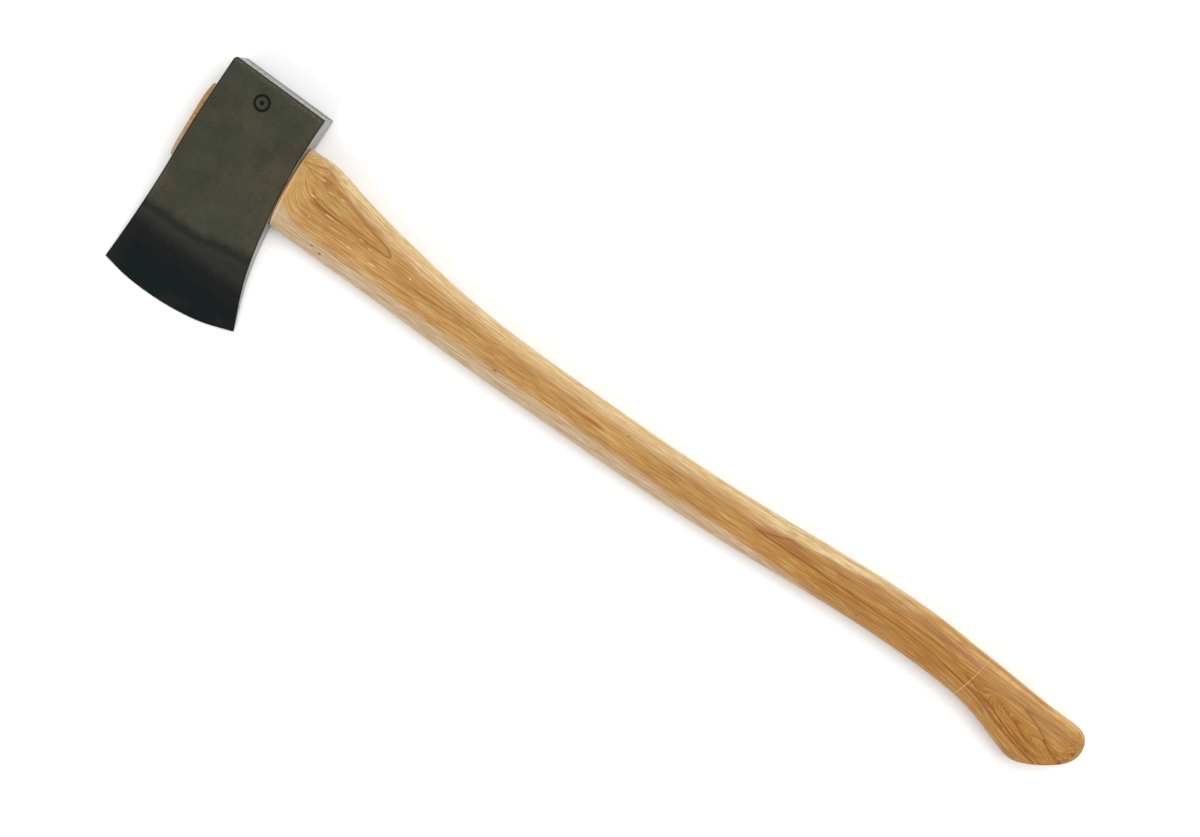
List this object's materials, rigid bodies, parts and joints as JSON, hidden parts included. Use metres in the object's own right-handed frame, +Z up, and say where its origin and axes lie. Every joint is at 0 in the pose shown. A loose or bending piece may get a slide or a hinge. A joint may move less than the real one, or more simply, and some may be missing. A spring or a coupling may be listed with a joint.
{
  "type": "single-bit felling axe",
  "caption": "Single-bit felling axe lying on its side: forged steel head wedged on a long curved hickory handle with a flared knob.",
  "frame": {"origin": "bottom centre of the axe's box as it lies on its side, on the surface that it lies on", "axes": "+X along the handle from the head to the knob, +Y towards the poll and away from the cutting edge, +Z up through the cheeks"},
  "size_m": [0.9104, 0.211, 0.0349],
  "materials": {
    "head_steel": "dark forge scale under thin lacquer on the cheeks, bare ground steel on the poll and on the sides",
    "hickory": "satin clear lacquer over flat-sawn hickory, paler sapwood along both edges",
    "wedge_wood": "sawn end grain, sanded flush and lacquered",
    "wedge_steel": "bare struck steel, slightly dull"
  },
  "bodies": {
    "root": {"axe_head": "head_steel", "handle": "hickory", "kerf_wedge": "wedge_wood", "step_wedge": "wedge_steel"}
  },
  "joints": []
}
